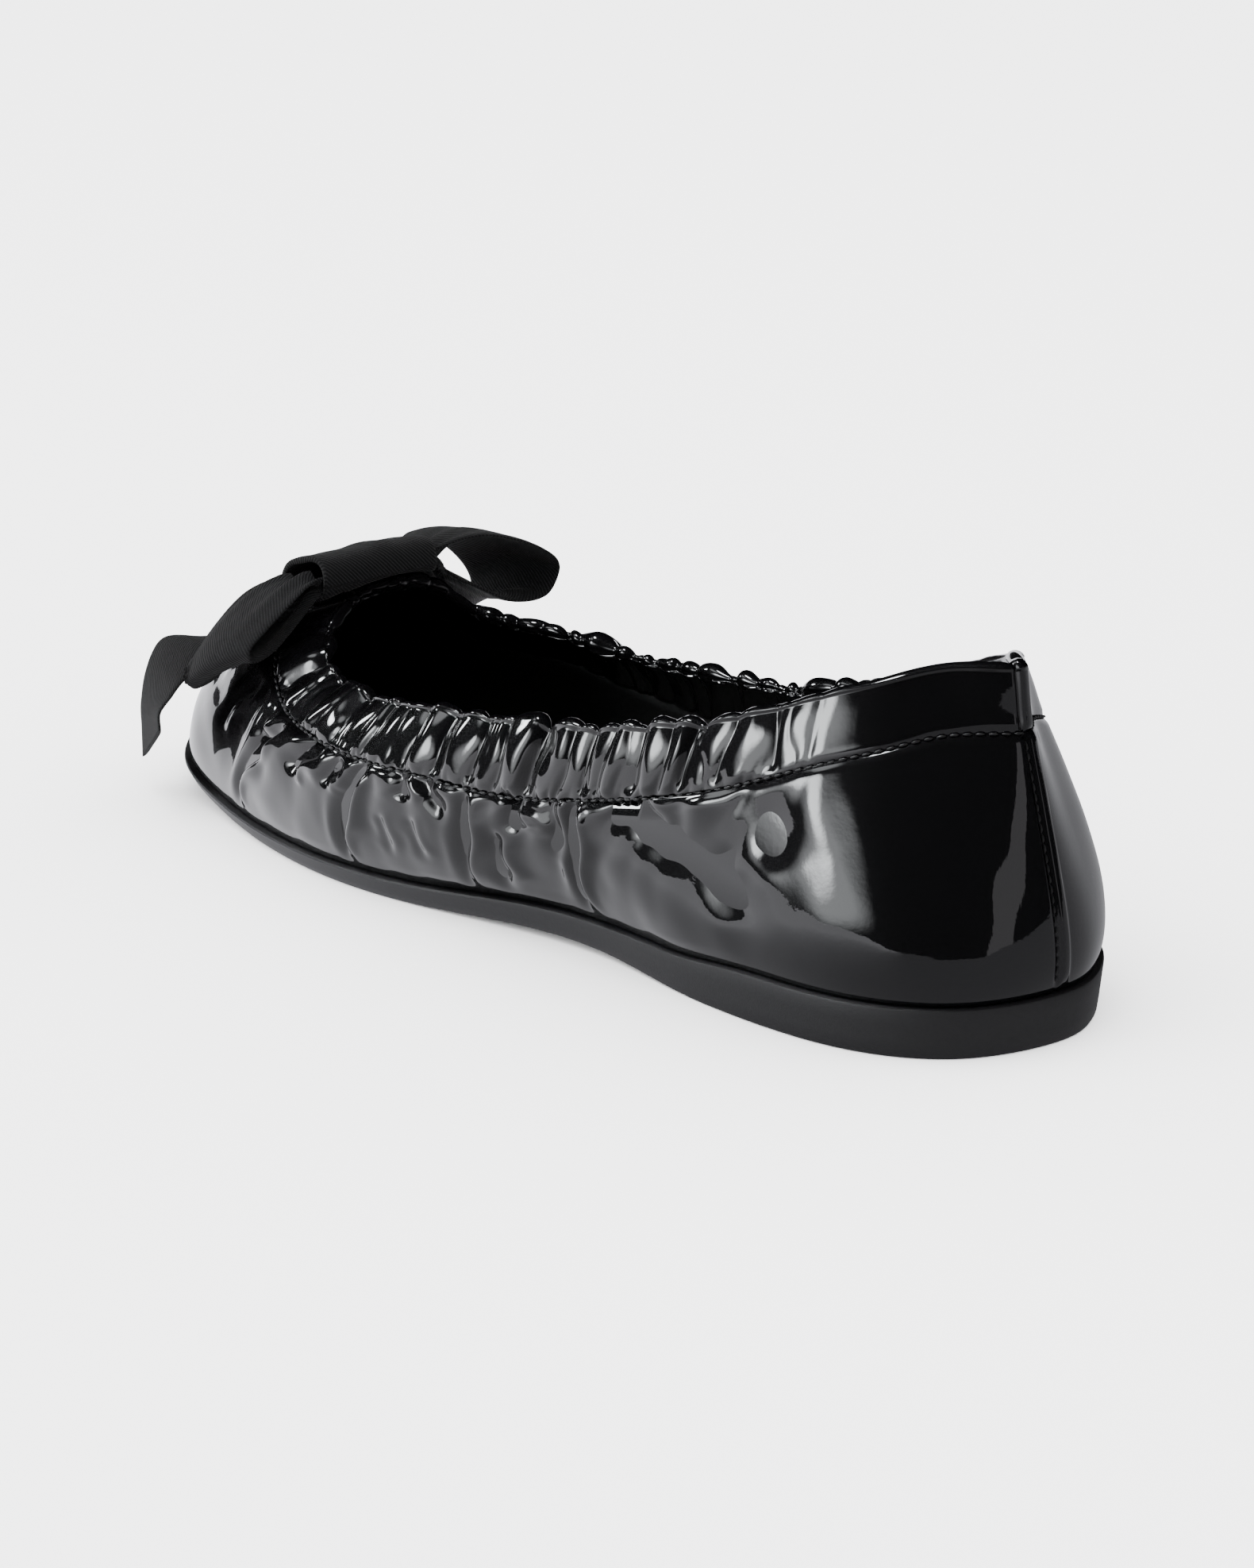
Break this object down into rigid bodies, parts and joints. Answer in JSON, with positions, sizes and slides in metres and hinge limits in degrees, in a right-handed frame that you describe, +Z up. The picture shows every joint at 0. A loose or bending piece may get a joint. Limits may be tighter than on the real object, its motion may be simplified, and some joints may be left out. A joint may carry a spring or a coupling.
{
  "type": "ballet flat",
  "caption": "Low women's ballet flat with a rounded almond toe, elasticated collar casing, ribbon bow with loops and hanging tails on the vamp, and a thin unit sole.",
  "frame": {"origin": "middle of the heel's flat underside, on the floor", "axes": "+Y to the toe, +X to the wearer's right, which is the medial side of this left shoe, +Z up"},
  "size_m": [0.0874, 0.248, 0.0685],
  "materials": {
    "sole_rubber": "matte black moulded rubber",
    "sock_lining": "matte black sock leather",
    "patent_leather": "high-gloss black patent",
    "patent_casing": "high-gloss black patent, gathered on elastic",
    "ribbon_twill": "matte black woven ribbon"
  },
  "bodies": {
    "root": {"outsole": "sole_rubber", "insole": "sock_lining", "upper": "patent_leather", "collar_casing": "patent_casing", "bow_knot": "ribbon_twill", "bow_loop_lateral": "ribbon_twill", "bow_loop_medial": "ribbon_twill", "bow_tail_lateral": "ribbon_twill", "bow_tail_medial": "ribbon_twill"}
  },
  "joints": []
}
